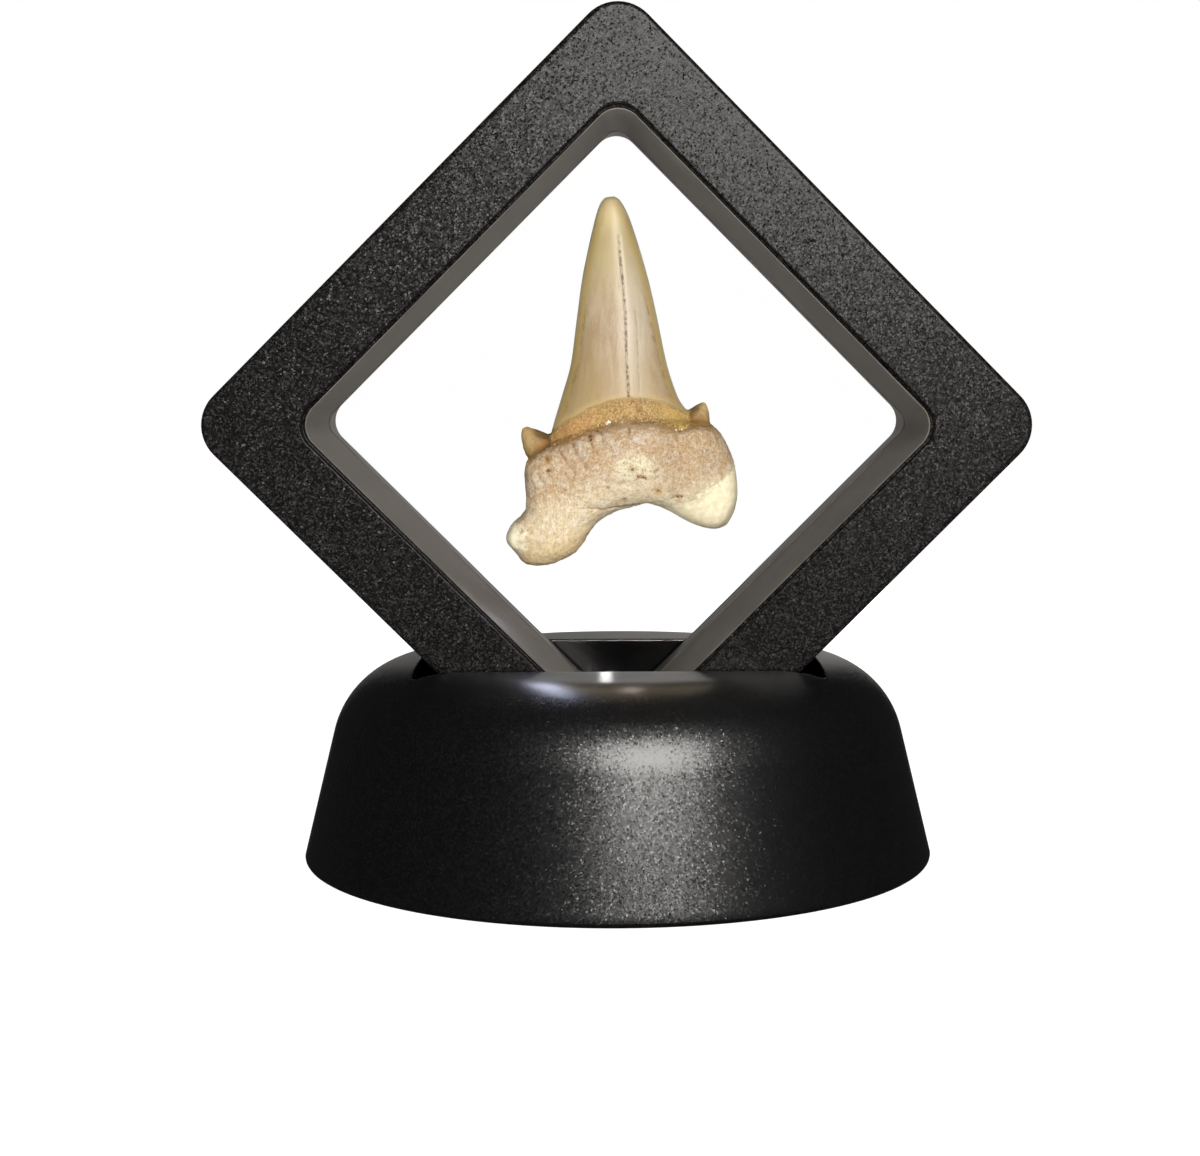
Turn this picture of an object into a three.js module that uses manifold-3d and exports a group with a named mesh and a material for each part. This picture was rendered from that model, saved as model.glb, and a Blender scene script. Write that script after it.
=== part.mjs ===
// A fossil shark tooth held between the two clear films of a square display frame. The frame
// stands on one corner in the slot of a round stand. Millimetres, +Z up. The origin is on the
// floor under the middle of the stand, -Y is the side that the tooth's bulging face looks to.
import * as THREE from "three";
import { mergeVertices } from "three/addons/utils/BufferGeometryUtils.js";
import Module from "manifold-3d";

const wasm = await Module();
wasm.setup();

const SEAT_GAP = 0.3; // between pieces that touch

// The stand: a moulded shell, open underneath.
const FOOT_RADIUS = 27.25;
const STAND_HEIGHT = 17.3;
const WALL_LEAN = THREE.MathUtils.degToRad(13.7);
const SHOULDER_RADIUS = 8;
const STAND_WALL = 2.2;
const STAND_SEGMENTS = 48;
const SHOULDER_STEPS = 6;

// The slot in its top, with a V at the bottom that cradles the frame's lowest corner.
const SLOT_HALF_LENGTH = 17;
const SLOT_WIDTH = 21.4;
const CRADLE_HALF_LENGTH = 8;
const SLOT_WALL = 1.8;

// The frame: two halves that meet at y = 0, turned by half a right angle to stand on a corner.
const FRAME_SIDE = 50;
const FRAME_DEPTH = 20;
const FRAME_CENTRE_Z = 37.4;
const OUTER_CORNER_RADIUS = 3.3;
const FACE_WIDTH = 6.05;
const EDGE_ROUNDING = 0.5;
const LIP_WIDTH = 0.25;
const LIP_DEPTH = 0.45;
const FILM_OPENING_SIDE = 35.8;
const FRONT_CORNER_RADIUS = 2.2;
const FILM_CORNER_RADIUS = 1.3;
const FILM_SEAT_WIDTH = 2.5;
const CORNER_STEPS = 5;

// The films.
const FILM_THICKNESS = 0.2;
const FILM_CELLS = 16;
const FILM_SWEEPS = 400;

// The tooth, in its own axes: x across and z up from the middle of the frame. Each section runs
// from point a to point b on its outline, and bulges to the front and, less, to the back.
const TOOTH_SECTION_POINTS = 24;
const STEPS_PER_SECTION = 3;
const CROWN_EDGE_POWER = 1.5; // above 1 the two faces meet in a cutting edge
const ROOT_EDGE_POWER = 0.9;
const CROWN_SECTIONS = [
  { a: [-1, 19.25], b: [-0.15, 19.25], front: 0.35, back: 0.3 },
  { a: [-1.5, 18.7], b: [0.35, 18.7], front: 0.75, back: 0.6 },
  { a: [-2.1, 17], b: [1.2, 17], front: 1.25, back: 0.85 },
  { a: [-2.95, 12.8], b: [2.55, 12.8], front: 1.95, back: 1.3 },
  { a: [-3.5, 9], b: [3.45, 9], front: 2.5, back: 1.6 },
  { a: [-4.05, 5], b: [4.25, 5], front: 2.95, back: 1.95 },
  { a: [-4.8, 2.2], b: [5.2, 2.2], front: 3.25, back: 2.25 },
  { a: [-5.6, -0.3], b: [6.2, 0.6], front: 3.4, back: 2.45 },
  { a: [-6.1, -2.4], b: [6.5, -1.4], front: 3.2, back: 2.4 },
  { a: [-5.5, -4], b: [6, -3.4], front: 2.5, back: 1.6 },
];
const ROOT_SECTIONS = [
  { a: [-9.55, -10.3], b: [-8.75, -11.3], front: 0.7, back: 0.5 },
  { a: [-9.6, -9.6], b: [-7.9, -12.2], front: 1.9, back: 1.3 },
  { a: [-9.1, -8.3], b: [-6.2, -12.25], front: 2.8, back: 1.9 },
  { a: [-8.2, -6.3], b: [-3.7, -11.2], front: 3.4, back: 2.2 },
  { a: [-7.9, -3.2], b: [-1.9, -8.75], front: 3.8, back: 2.3 },
  { a: [-5.2, -1.3], b: [-0.4, -7.75], front: 4.4, back: 2.3 },
  { a: [-1.2, 0.3], b: [1.25, -7.2], front: 5.1, back: 2.2 },
  { a: [2.6, 0.6], b: [2.6, -6.95], front: 5.1, back: 2.2 },
  { a: [5.6, 0.4], b: [4.2, -7.55], front: 4.3, back: 2.3 },
  { a: [8.2, -0.1], b: [5.7, -8.4], front: 3.8, back: 2.3 },
  { a: [9.9, -2.8], b: [7.1, -9], front: 3.3, back: 2.1 },
  { a: [10.4, -5.6], b: [8.4, -9.2], front: 2.5, back: 1.7 },
  { a: [10.2, -7.4], b: [9.4, -8.9], front: 0.9, back: 0.6 },
];
const CUSPLETS = [
  [
    { a: [-8.5, -0.2], b: [-8.2, -0.2], front: 0.15, back: 0.12 },
    { a: [-8.35, -1.3], b: [-6.7, -0.75], front: 0.8, back: 0.6 },
    { a: [-7.9, -3.1], b: [-4.8, -1.2], front: 1.6, back: 1.2 },
    { a: [-7, -4.3], b: [-3.8, -2.6], front: 1.7, back: 1.3 },
  ],
  [
    { a: [7.65, 2.05], b: [7.9, 2], front: 0.15, back: 0.12 },
    { a: [6.75, 1.45], b: [8.02, 1.1], front: 0.7, back: 0.55 },
    { a: [5.2, 0.6], b: [7.95, -0.1], front: 1.5, back: 1.1 },
    { a: [4.2, -1.2], b: [7.4, -1.6], front: 1.7, back: 1.3 },
  ],
];

const { lerp } = THREE.MathUtils;

// ---- solids ------------------------------------------------------------------------------------

// A manifold solid from any closed three.js geometry.
function solid(geometry) {
  const bare = new THREE.BufferGeometry();
  const flat = geometry.index ? geometry.toNonIndexed() : geometry;
  bare.setAttribute("position", flat.getAttribute("position"));
  const merged = mergeVertices(bare, 1e-4);
  return new wasm.Manifold(
    new wasm.Mesh({
      numProp: 3,
      vertProperties: new Float32Array(merged.getAttribute("position").array),
      triVerts: new Uint32Array(merged.index.array),
    }),
  );
}

// A three.js geometry from a manifold solid.
function geometryOf(manifold) {
  const mesh = manifold.getMesh();
  const geometry = new THREE.BufferGeometry();
  geometry.setAttribute("position", new THREE.BufferAttribute(mesh.vertProperties, 3));
  geometry.setIndex(new THREE.BufferAttribute(mesh.triVerts, 1));
  geometry.computeVertexNormals();
  return geometry;
}

// A geometry from lists of points and triangles, turned inside out if its faces point inwards.
function closedGeometry(points, triangles) {
  const a = new THREE.Vector3();
  const b = new THREE.Vector3();
  const c = new THREE.Vector3();
  let volume = 0;
  for (const [i, j, k] of triangles) {
    a.fromArray(points[i]);
    b.fromArray(points[j]);
    c.fromArray(points[k]);
    volume += a.dot(b.cross(c));
  }
  const outward = volume > 0 ? triangles : triangles.map(([i, j, k]) => [i, k, j]);
  const geometry = new THREE.BufferGeometry();
  geometry.setAttribute("position", new THREE.Float32BufferAttribute(points.flat(), 3));
  geometry.setIndex(outward.flat());
  geometry.computeVertexNormals();
  return geometry;
}

// A body through rings of equally many points. Its last ring joins its first, or both get an end.
function ringBody(rings, isLoop) {
  const around = rings[0].length;
  const points = rings.flat();
  const triangles = [];
  rings.forEach((ring, i) => {
    if (!isLoop && i + 1 === rings.length) return;
    const here = i * around;
    const next = ((i + 1) % rings.length) * around;
    for (let j = 0; j < around; j++) {
      const k = (j + 1) % around;
      triangles.push([here + j, here + k, next + k], [here + j, next + k, next + j]);
    }
  });
  if (isLoop) return closedGeometry(points, triangles);
  for (const first of [0, (rings.length - 1) * around]) {
    const middle = [0, 1, 2].map((axis) => {
      const ring = points.slice(first, first + around);
      return ring.reduce((sum, point) => sum + point[axis], 0) / around;
    });
    const centre = points.push(middle) - 1;
    for (let j = 0; j < around; j++) {
      const edge = [first + j, first + ((j + 1) % around)];
      triangles.push(first === 0 ? [centre, edge[1], edge[0]] : [centre, ...edge]);
    }
  }
  return closedGeometry(points, triangles);
}

// A flat XZ outline drawn out along Y, evenly on both sides of y = 0.
function prism(outline, width) {
  const shape = new THREE.Shape(outline.map(([x, z]) => new THREE.Vector2(x, z)));
  const geometry = new THREE.ExtrudeGeometry(shape, { depth: width, bevelEnabled: false });
  geometry.translate(0, 0, -width / 2);
  geometry.rotateX(Math.PI / 2);
  return solid(geometry);
}

// The other half of an outline that is the same on both sides of x = 0.
function mirrored(half) {
  return [...half, ...half.map(([x, z]) => [-x, z]).reverse()];
}

// ---- stand -------------------------------------------------------------------------------------

// A round body of the stand's form, "inset" inside its outer surface, from the floor upwards.
function standBody(inset) {
  const top = STAND_HEIGHT - inset;
  const radius = SHOULDER_RADIUS - inset;
  const arcZ = top - radius;
  const footRadius = FOOT_RADIUS - inset / Math.cos(WALL_LEAN);
  const arcR = footRadius - (radius + arcZ * Math.sin(WALL_LEAN)) / Math.cos(WALL_LEAN);
  const below = inset > 0 ? 1 : 0; // a hollow runs out through the floor
  const profile = [new THREE.Vector2(0, -below)];
  profile.push(new THREE.Vector2(footRadius + below * Math.tan(WALL_LEAN), -below));
  for (let i = 0; i <= SHOULDER_STEPS; i++) {
    const angle = lerp(WALL_LEAN, Math.PI / 2, i / SHOULDER_STEPS);
    const r = arcR + radius * Math.cos(angle);
    profile.push(new THREE.Vector2(r, arcZ + radius * Math.sin(angle)));
  }
  profile.push(new THREE.Vector2(0, top));
  const geometry = new THREE.LatheGeometry(profile, STAND_SEGMENTS);
  geometry.rotateX(Math.PI / 2);
  return solid(geometry);
}

function standGeometry() {
  const cornerCut = OUTER_CORNER_RADIUS * (Math.SQRT2 - 1);
  const frameCornerZ = FRAME_CENTRE_Z - FRAME_SIDE / Math.SQRT2;
  const floorZ = frameCornerZ + cornerCut - SEAT_GAP;
  const vee = frameCornerZ - SEAT_GAP * Math.SQRT2; // where the cradle's two slopes would meet
  const ledgeZ = vee + CRADLE_HALF_LENGTH;
  const above = STAND_HEIGHT + 1;
  const slot = prism(
    mirrored([
      [floorZ - vee, floorZ],
      [CRADLE_HALF_LENGTH, ledgeZ],
      [SLOT_HALF_LENGTH, ledgeZ],
      [SLOT_HALF_LENGTH, above],
    ]),
    SLOT_WIDTH,
  );
  const outerVee = vee - SLOT_WALL * Math.SQRT2;
  const underLedgeZ = ledgeZ - SLOT_WALL;
  const underFloorZ = floorZ - SLOT_WALL;
  const trough = prism(
    mirrored([
      [underFloorZ - outerVee, underFloorZ],
      [underLedgeZ - outerVee, underLedgeZ],
      [SLOT_HALF_LENGTH + SLOT_WALL, underLedgeZ],
      [SLOT_HALF_LENGTH + SLOT_WALL, above],
    ]),
    SLOT_WIDTH + 2 * SLOT_WALL,
  );
  const hollow = standBody(STAND_WALL).subtract(trough);
  return geometryOf(standBody(0).subtract(hollow).subtract(slot));
}

// ---- frame -------------------------------------------------------------------------------------

// A square with rounded corners, standing on one corner, as a ring of points at depth y.
function diamondRing(halfSide, cornerRadius, y) {
  const ring = [];
  for (let corner = 0; corner < 4; corner++) {
    const across = (corner * Math.PI) / 2;
    const centre = (halfSide - cornerRadius) * Math.SQRT2;
    for (let i = 0; i <= CORNER_STEPS; i++) {
      const angle = across + lerp(-Math.PI / 4, Math.PI / 4, i / CORNER_STEPS);
      const x = centre * Math.cos(across) + cornerRadius * Math.cos(angle);
      const z = centre * Math.sin(across) + cornerRadius * Math.sin(angle);
      ring.push([x, y, z]);
    }
  }
  return ring;
}

// One half of the frame. side is -1 for the front half and 1 for the back half.
function frameHalf(side) {
  const half = FRAME_SIDE / 2;
  const face = FRAME_DEPTH / 2;
  const seam = SEAT_GAP / 2;
  const seat = seam + FILM_THICKNESS + SEAT_GAP;
  const opening = half - FACE_WIDTH;
  const film = FILM_OPENING_SIDE / 2;
  const bevel = EDGE_ROUNDING * (1 - Math.SQRT1_2);
  const section = [
    [half, OUTER_CORNER_RADIUS, seam],
    [half, OUTER_CORNER_RADIUS, face - EDGE_ROUNDING],
    [half - bevel, OUTER_CORNER_RADIUS - bevel, face - bevel],
    [half - EDGE_ROUNDING, OUTER_CORNER_RADIUS - EDGE_ROUNDING, face],
    [opening, FRONT_CORNER_RADIUS, face],
    [opening - LIP_WIDTH, FRONT_CORNER_RADIUS, face - LIP_DEPTH],
    [film, FILM_CORNER_RADIUS, seat],
    [film + FILM_SEAT_WIDTH, SEAT_GAP, seat],
    [film + FILM_SEAT_WIDTH, SEAT_GAP, seam],
  ];
  const rings = section.map(([size, radius, y]) => diamondRing(size, radius, side * y));
  return ringBody(rings, true);
}

// ---- tooth -------------------------------------------------------------------------------------

// A smooth body through the given sections.
function lofted(sections, edgePower) {
  const steps = STEPS_PER_SECTION * (sections.length - 1);
  const through = (pick) => {
    const curve = new THREE.SplineCurve(sections.map((item) => new THREE.Vector2(...pick(item))));
    return curve.getPoints(steps);
  };
  const starts = through((item) => item.a);
  const ends = through((item) => item.b);
  const bulges = through((item) => [item.front, item.back]);
  const rings = starts.map((a, i) => {
    const b = ends[i];
    const { x: front, y: back } = bulges[i];
    return Array.from({ length: TOOTH_SECTION_POINTS }, (_, k) => {
      const angle = (2 * Math.PI * k) / TOOTH_SECTION_POINTS;
      const along = (1 - Math.cos(angle)) / 2;
      const out = Math.abs(Math.sin(angle)) ** edgePower;
      const y = angle < Math.PI ? -front * out : back * out;
      return [lerp(a.x, b.x, along), y, lerp(a.y, b.y, along)];
    });
  });
  return solid(ringBody(rings, false));
}

function toothGeometry() {
  let tooth = lofted(ROOT_SECTIONS, ROOT_EDGE_POWER);
  tooth = tooth.add(lofted(CROWN_SECTIONS, CROWN_EDGE_POWER));
  for (const sections of CUSPLETS) tooth = tooth.add(lofted(sections, CROWN_EDGE_POWER));
  return geometryOf(tooth);
}

// ---- films -------------------------------------------------------------------------------------

// A stretched film: flat at its clamped rim, and over the tooth the lowest sheet that clears it.
function filmGeometry(side, tooth) {
  const reach = FILM_OPENING_SIDE / 2;
  const rim = reach + FILM_SEAT_WIDTH - SEAT_GAP;
  const free = reach - SEAT_GAP;
  const lines = [-rim];
  for (let i = 0; i <= FILM_CELLS; i++) lines.push(lerp(-free, free, i / FILM_CELLS));
  lines.push(rim);
  const count = lines.length;
  const cell = (2 * free) / FILM_CELLS;
  const flat = SEAT_GAP / 2 + FILM_THICKNESS / 2;
  const clearance = SEAT_GAP + FILM_THICKNESS / 2;
  const isFree = (i) => i >= 2 && i <= count - 3;

  // The least height at each grid point clears every point of the tooth within one cell of it.
  const least = lines.map(() => lines.map(() => flat));
  const position = tooth.getAttribute("position");
  for (let n = 0; n < position.count; n++) {
    const out = side * position.getY(n) + clearance;
    const u = (position.getX(n) + position.getZ(n)) * Math.SQRT1_2;
    const v = (position.getZ(n) - position.getX(n)) * Math.SQRT1_2;
    lines.forEach((lineU, i) => {
      if (!isFree(i) || Math.abs(lineU - u) > cell) return;
      lines.forEach((lineV, j) => {
        if (isFree(j) && Math.abs(lineV - v) <= cell) least[i][j] = Math.max(least[i][j], out);
      });
    });
  }
  const height = least.map((row) => [...row]);
  for (let sweep = 0; sweep < FILM_SWEEPS; sweep++) {
    for (let i = 2; isFree(i); i++) {
      for (let j = 2; isFree(j); j++) {
        const around = height[i - 1][j] + height[i + 1][j] + height[i][j - 1] + height[i][j + 1];
        height[i][j] = Math.max(least[i][j], around / 4);
      }
    }
  }

  const points = [];
  for (const skin of [0.5, -0.5]) {
    lines.forEach((u, i) =>
      lines.forEach((v, j) => {
        const y = side * (height[i][j] + skin * FILM_THICKNESS);
        points.push([(u - v) * Math.SQRT1_2, y, (u + v) * Math.SQRT1_2]);
      }),
    );
  }
  const inner = count * count;
  const triangles = [];
  const quad = (a, b, c, d) => triangles.push([a, b, c], [a, c, d]);
  for (let i = 0; i + 1 < count; i++) {
    for (let j = 0; j + 1 < count; j++) {
      const a = i * count + j;
      quad(a, a + 1, a + count + 1, a + count);
      quad(inner + a, inner + a + count, inner + a + count + 1, inner + a + 1);
    }
    const last = count - 1;
    quad(i * count, (i + 1) * count, inner + (i + 1) * count, inner + i * count);
    quad((i + 1) * count + last, i * count + last, inner + i * count + last,
      inner + (i + 1) * count + last);
    quad(i + 1, i, inner + i, inner + i + 1);
    quad(last * count + i, last * count + i + 1, inner + last * count + i + 1,
      inner + last * count + i);
  }
  return closedGeometry(points, triangles);
}

// ---- assembly ----------------------------------------------------------------------------------

function piece(name, geometry, colour, roughness, opacity = 1) {
  const material = new THREE.MeshStandardMaterial({ color: colour, roughness, metalness: 0 });
  material.transparent = opacity < 1;
  material.opacity = opacity;
  const mesh = new THREE.Mesh(geometry, material);
  mesh.name = name;
  return mesh;
}

const tooth = toothGeometry();
const framed = new THREE.Group();
framed.position.z = FRAME_CENTRE_Z;
framed.add(
  piece("frame_front_half", frameHalf(-1), "#26262a", 0.55),
  piece("frame_back_half", frameHalf(1), "#26262a", 0.55),
  piece("front_film", filmGeometry(-1, tooth), "#ffffff", 0.1, 0.1),
  piece("back_film", filmGeometry(1, tooth), "#ffffff", 0.1, 0.1),
  piece("tooth", tooth, "#bfa983", 0.5),
);

const object = new THREE.Group();
object.add(piece("stand", standGeometry(), "#1c1c1e", 0.45), framed);

export default object;
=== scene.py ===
import math
import bmesh
import bpy
import numpy as np
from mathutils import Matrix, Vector, noise


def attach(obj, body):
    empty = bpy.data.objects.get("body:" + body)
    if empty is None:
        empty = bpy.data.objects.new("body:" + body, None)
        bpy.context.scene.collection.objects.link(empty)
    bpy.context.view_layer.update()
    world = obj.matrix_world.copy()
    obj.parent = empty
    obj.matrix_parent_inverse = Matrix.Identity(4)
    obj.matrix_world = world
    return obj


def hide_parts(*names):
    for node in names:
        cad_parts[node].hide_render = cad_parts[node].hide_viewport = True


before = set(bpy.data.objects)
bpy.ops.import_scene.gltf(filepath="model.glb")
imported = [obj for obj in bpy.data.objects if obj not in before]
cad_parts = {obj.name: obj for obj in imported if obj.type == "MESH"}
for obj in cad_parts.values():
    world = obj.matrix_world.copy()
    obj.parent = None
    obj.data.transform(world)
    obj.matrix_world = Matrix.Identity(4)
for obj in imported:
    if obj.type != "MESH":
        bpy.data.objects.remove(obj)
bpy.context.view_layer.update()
scene = bpy.context.scene


# ---- The tooth's body ----------------------------------------------------------------------
# A fossil shark tooth 32 mm long: a tapering crown, a small cusplet on either side of it, and
# a root of two lobes. It grew in one piece, so the four lofts below are fused into one skin.

MM = 0.001  # the layouts below are in millimetres, and the scene is in metres
MIDDLE_Z = 37.4  # height of the middle of the display frame, where the tooth's x and z start

# Each section runs from (x, z) to (x, z) on the outline, then bulges to the front and the back.
CROWN = [
    (-1.05, 19.2, -0.2, 19.25, 0.35, 0.3),
    (-1.5, 18.6, 0.38, 18.7, 0.75, 0.6),
    (-2.02, 17, 1.2, 17, 1.25, 0.85),
    (-2.95, 12.8, 2.5, 12.8, 1.95, 1.3),
    (-3.5, 9, 3.4, 9, 2.5, 1.6),
    (-4.05, 5, 4.25, 5, 2.95, 1.95),
    (-4.85, 2.2, 5.2, 2.2, 3.25, 2.25),
    (-5.6, -0.3, 6.2, 0.6, 3.4, 2.45),
    (-6.1, -2.4, 6.5, -1.4, 3.2, 2.4),
    (-5.5, -4, 6, -3.4, 2.5, 1.6),
]
ROOT = [
    (-9.55, -10.3, -8.75, -11.3, 1.3, 0.7),
    (-9.6, -9.6, -7.9, -12.2, 2.3, 1.5),
    (-9.15, -8.6, -6.2, -12.25, 2.9, 1.9),
    (-8, -7.2, -3.7, -11.2, 3.4, 2.2),
    (-7.9, -3.2, -1.9, -8.75, 3.8, 2.3),
    (-5.2, -1.3, -0.4, -7.75, 4.4, 2.3),
    (-1.2, 0.3, 1.25, -7.2, 5.1, 2.2),
    (2.6, 0.6, 2.6, -6.95, 5.1, 2.2),
    (5.6, 0.4, 4.2, -7.55, 4.3, 2.3),
    (8.2, -0.1, 5.7, -8.4, 3.8, 2.3),
    (9.9, -2.8, 7.1, -9, 3.3, 2.1),
    (10.4, -5.6, 8.4, -9.2, 2.8, 1.8),
    (10.2, -7.4, 9.4, -8.9, 1.6, 0.9),
]
LEFT_CUSPLET = [
    (-8.35, -0.45, -7.85, -0.2, 0.18, 0.14),
    (-8.42, -1.2, -6.7, -0.56, 0.8, 0.6),
    (-8.2, -2.2, -5.9, -0.9, 1.2, 0.9),
    (-7.8, -3.1, -4.8, -1.2, 1.6, 1.2),
    (-7, -4.3, -3.8, -2.6, 1.7, 1.3),
]
RIGHT_CUSPLET = [
    (7.3, 1.88, 7.7, 1.78, 0.18, 0.14),
    (6.5, 1.5, 7.88, 1.15, 0.6, 0.5),
    (5.95, 1.1, 7.98, 0.55, 1, 0.8),
    (5.2, 0.5, 7.97, -0.1, 1.5, 1.1),
    (4.2, -1.2, 7.4, -1.6, 1.7, 1.3),
]
CUTTING_EDGE = 1.02  # above 1 the two faces of a section meet in a sharp edge
ROUND_EDGE = 0.5
TOOTH_VOXEL = 0.13  # size of the faces of the tooth's skin


def curve_through(rows, steps):
    """Points on a smooth curve through the rows, with the given number of steps between two."""
    rows = np.array(rows, float)
    padded = np.vstack([rows[:1], rows, rows[-1:]])
    points = []
    for a, b, c, d in zip(padded, padded[1:], padded[2:], padded[3:]):
        for u in np.arange(steps) / steps:
            bend = (2 * a - 5 * b + 4 * c - d) * u**2 + (3 * b - a - 3 * c + d) * u**3
            points.append(0.5 * (2 * b + (c - a) * u + bend))
    return np.array(points + [rows[-1]])


def ring_body(rings, is_loop=False):
    """Points and faces of a body through rings of equally many points, closed at its ends."""
    around = len(rings[0])
    faces = []
    for i in range(len(rings) if is_loop else len(rings) - 1):
        here, there = i * around, (i + 1) % len(rings) * around
        for j in range(around):
            k = (j + 1) % around
            faces.append((here + j, here + k, there + k, there + j))
    if not is_loop:
        faces += [tuple(range(around)), tuple(range(there, there + around))]
    return np.vstack(rings), faces


def loft(sections, edge_power, ring_points=72, steps=8):
    """A body through the sections, with edge_power shaping how its two faces meet."""
    angle = np.arange(ring_points) * 2 * math.pi / ring_points
    along = (1 - np.cos(angle)) / 2
    out = np.abs(np.sin(angle)) ** edge_power
    rings = []
    for ax, az, bx, bz, front, back in curve_through(sections, steps):
        y = np.where(angle < math.pi, -front, back) * out
        rings.append(np.column_stack([ax + (bx - ax) * along, y, az + (bz - az) * along]))
    return ring_body(rings)


def new_piece(name, points, faces, scale=MM):
    """A smooth-shaded mesh object with its faces turned outwards."""
    mesh = bpy.data.meshes.new(name)
    mesh.from_pydata((np.array(points) * scale).tolist(), [], faces)
    shell = bmesh.new()
    shell.from_mesh(mesh)
    bmesh.ops.recalc_face_normals(shell, faces=shell.faces)
    shell.to_mesh(mesh)
    shell.free()
    mesh.polygons.foreach_set("use_smooth", [True] * len(mesh.polygons))
    piece = bpy.data.objects.new(name, mesh)
    scene.collection.objects.link(piece)
    return piece


def fused(name, bodies, voxel, smoothings):
    """One evenly fine skin round several bodies that run into each other."""
    points, faces = [], []
    for body_points, body_faces in bodies:
        start = sum(len(p) for p in points)
        points.append(body_points)
        faces += [tuple(start + i for i in face) for face in body_faces]
    piece = new_piece(name, np.vstack(points), faces, scale=1)
    skin = piece.modifiers.new("skin", "REMESH")
    skin.mode = "VOXEL"
    skin.voxel_size = voxel
    skin.use_smooth_shade = True
    soften = piece.modifiers.new("soften", "SMOOTH")
    soften.iterations = smoothings
    bpy.context.view_layer.update()
    whole = piece.evaluated_get(bpy.context.evaluated_depsgraph_get())
    piece.data = bpy.data.meshes.new_from_object(whole)
    piece.modifiers.clear()
    return piece


tooth = fused(
    "tooth_dressed",
    [
        loft(ROOT, ROUND_EDGE),
        loft(CROWN, CUTTING_EDGE),
        loft(LEFT_CUSPLET, CUTTING_EDGE),
        loft(RIGHT_CUSPLET, CUTTING_EDGE),
    ],
    TOOTH_VOXEL,
    smoothings=5,
)


# ---- The tooth's surface -------------------------------------------------------------------
# Enamel ends at a rough band above the neck, and below the neck lies porous root, with pits
# and cracks. The lowest part of the right lobe and the left lobe's knob have lost their skin.

BAND_TOP = [
    (-9, 4), (-6.5, 4), (-6, -0.95), (-5.6, -0.75), (-4.46, 0.16), (-2.17, 1.44), (-0.31, 2.01),
    (1.27, 2.2), (2.7, 2.08), (4.13, 1.73), (5.42, 1.09), (6, 0.85), (6.5, 4), (9, 4),
]
NECK = [
    (-9, -3.4), (-7.32, -2.82), (-6.32, -2.11), (-5.32, -1.83), (-4.03, -1.4), (-3.17, -0.98),
    (-2.17, -0.48), (-1.03, -0.15), (-0.16, 0.2), (0.69, 0.23), (1.69, 0.16), (2.7, 0.16),
    (3.56, -0.05), (4.56, -0.4), (5.42, -0.48), (6.28, -0.19), (7.86, -0.2), (9, -0.3),
]
BARE_LOBE = [
    (3.2, -7.3), (4.85, -7.02), (5.99, -6.66), (7.57, -5.53), (8.86, -4.81), (9.6, -4.1),
    (10.1, -3.25), (10.6, -2),
]
BARE_KNOB = (-9.3, -9.8, 1)  # x, z and radius
BULGE = (1.4, -3.6, 1.9, 1.25)  # x, z and its reach along both
SPLIT = [(0.1, 15.9), (0.24, 13.6), (0.52, 11), (0.66, 8.7), (0.72, 5.55), (0.9, 2.3)]
HAIRLINE = [(1.45, 9.6), (1.64, 7.8), (1.7, 5.4), (1.8, 2.55)]
ROOT_CRACKS = [
    [(-3.3, -7.14), (-1.3, -7.3), (0.1, -7.1), (2, -6.85)],
    [(3.05, -5.6), (3.7, -5.76)],
    [(1.35, -4.7), (1.7, -4.48), (2.3, -4.55)],
    [(4.2, -5.75), (4.9, -5.5)],
    [(4.5, -6.35), (5.3, -6.15)],
]
PITS = [  # x, z, radius, depth
    (1.19, -3.77, 0.15, 0.1), (1.8, -4.38, 0.13, 0.16), (2.05, -4.46, 0.12, 0.16),
    (2.26, -4.55, 0.1, 0.12), (1.62, -4.3, 0.09, 0.1), (3.1, -4, 0.1, 0.1),
    (3.28, -3.82, 0.09, 0.1), (-0.5, 0.08, 0.13, 0.14), (-1.83, -0.42, 0.16, 0.16),
    (5.25, -0.5, 0.16, 0.14), (3.4, -5.7, 0.11, 0.16), (5, -6.24, 0.15, 0.14),
    (5.35, -6.2, 0.12, 0.12), (0.55, -6.45, 0.11, 0.12), (-5.97, -3.96, 0.16, 0.16),
    (-4.53, -5.6, 0.1, 0.08), (-8.3, -9.1, 0.16, 0.12), (-2.45, -0.85, 0.17, 0.22),
    (-2.4, -1.2, 0.15, 0.2), (-2.3, -1.6, 0.1, 0.12), (-6.1, -2.9, 0.12, 0.14),
    (6.9, -8.2, 0.08, 0.08), (-0.9, -5.4, 0.1, 0.07),
]
CRYSTALS = [  # x, z and radius
    (-1.02, 0.06, 0.09), (-0.78, 0.14, 0.12), (-0.22, 0.24, 0.05), (0.3, 0.2, 0.05),
    (-1.15, -0.72, 0.04), (4.95, -0.44, 0.06), (5.38, -0.42, 0.07), (5.58, -0.3, 0.06),
    (-5.7, -1.95, 0.04), (-3.05, -1.1, 0.06),
]
FURROWS = [  # worn channels that run down from the neck
    [(-2.45, -0.8), (-2.35, -1.5), (-2.1, -2.4)],
    [(-1.5, -0.6), (-1.35, -1.4), (-1.3, -1.9)],
    [(-3.9, -1.6), (-3.5, -2.6), (-2.9, -3.5)],
    [(-5, -2.2), (-4.5, -3), (-3.9, -4.2)],
    [(-6.25, -2.7), (-5.95, -3.3), (-5.7, -3.9)],
    [(-6.9, -4.4), (-6.4, -5.2)],
    [(0.9, -0.2), (1, -0.9)],
]
BAND_STEP = 0.07  # how far the band and the root lie under the enamel
NECK_GROOVE = 0.1
BULGE_HEIGHT = 0.22
KNOB_HEIGHT = 0.12
WORN_DEPTH = 0.06  # what the bare lobe has lost
CRYSTAL_HEIGHT = 0.1
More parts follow.
